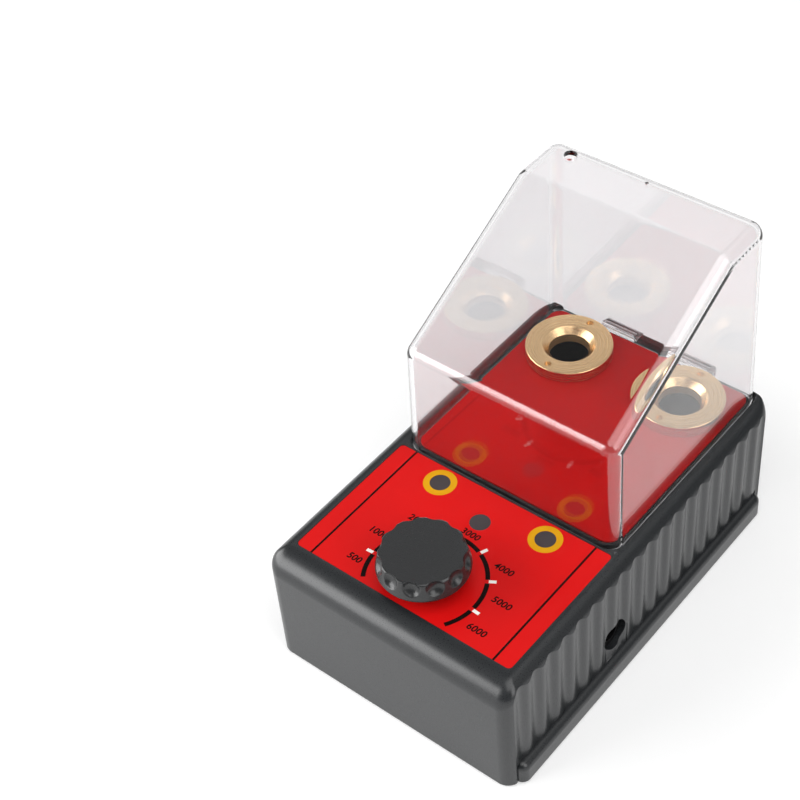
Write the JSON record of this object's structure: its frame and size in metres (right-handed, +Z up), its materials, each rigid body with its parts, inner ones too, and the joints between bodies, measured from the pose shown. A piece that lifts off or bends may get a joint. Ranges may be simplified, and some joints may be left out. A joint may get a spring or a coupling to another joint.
{
  "type": "spark plug tester",
  "caption": "Ribbed bench case with a speed knob, lamp windows and brass plug sockets under a clear hinged hood, for sparking engine plugs upside down at a chosen rate.",
  "frame": {"origin": "on the bench, below the middle of the object's box", "axes": "+X right seen from the knob's end, +Y from the knob to the hinge, +Z up"},
  "size_m": [0.1, 0.1564, 0.1226],
  "materials": {
    "case_plastic": "fine grain",
    "label_red": "gloss print",
    "clear_plastic": "clear polished",
    "turned_brass": "turned",
    "inner_brass": "plain",
    "steel": "plain",
    "aluminium": "plain",
    "knob_plastic": "satin",
    "foot_rubber": "matte",
    "well_plastic": "matte",
    "black_potting": "matte",
    "red_lead": "gloss",
    "board_laminate": "lacquered",
    "lens": "smoked, gloss"
  },
  "bodies": {
    "case": {"housing_top": "case_plastic", "base_cover": "case_plastic", "front_label": "label_red", "rear_label": "label_red", "plug_socket_left": "turned_brass", "plug_socket_right": "turned_brass", "socket_nut_left": "inner_brass", "socket_nut_right": "inner_brass", "earth_strap": "inner_brass", "contact_tag_left": "inner_brass", "contact_tag_right": "inner_brass", "hinge_pin": "steel", "base_screws": "steel", "board_screws": "steel", "contact_spring_left": "steel", "contact_spring_right": "steel", "pot_nut": "steel", "inlet_pin": "steel", "heat_sink": "aluminium", "speed_potentiometer": "aluminium", "rubber_feet": "foot_rubber", "plug_well_left": "well_plastic", "plug_well_right": "well_plastic", "hv_coil_left": "black_potting", "hv_coil_right": "black_potting", "timer_chip": "black_potting", "smoothing_capacitor": "black_potting", "power_transistors": "black_potting", "dc_inlet": "black_potting", "earth_lead": "black_potting", "hv_lead_left": "red_lead", "hv_lead_right": "red_lead", "supply_leads": "red_lead", "coil_leads_left": "red_lead", "coil_leads_right": "red_lead", "main_board": "board_laminate", "hv_window_left": "lens", "hv_window_right": "lens", "power_window": "lens", "hv_lamp_left": "lens", "hv_lamp_right": "lens", "power_lamp": "lens"},
    "hood": {"clear_hood": "clear_plastic"},
    "knob": {"speed_knob": "knob_plastic", "pot_shaft": "aluminium"},
    "plunger_left": {"contact_plunger_left": "inner_brass", "plunger_clip_left": "steel"},
    "plunger_right": {"contact_plunger_right": "inner_brass", "plunger_clip_right": "steel"}
  },
  "joints": [
    {"name": "hood_hinge", "type": "hinge", "parent": "case", "child": "hood", "pos_m": [0, 0.07575, 0.044], "axis": [-1, 0, 0], "range_deg": [0, 110]},
    {"name": "speed_turn", "type": "hinge", "parent": "case", "child": "knob", "pos_m": [0, -0.05615, 0.055], "axis": [0, 0, -1], "range_deg": [-135, 135]},
    {"name": "contact_press_left", "type": "slide", "parent": "case", "child": "plunger_left", "axis": [0, 0, -1], "range_m": [0, 0.0025], "stiffness_N_per_m": 600, "springref_m": -0.002, "deforming": ["contact_spring_left"]},
    {"name": "contact_press_right", "type": "slide", "parent": "case", "child": "plunger_right", "axis": [0, 0, -1], "range_m": [0, 0.0025], "stiffness_N_per_m": 600, "springref_m": -0.002, "deforming": ["contact_spring_right"]}
  ]
}
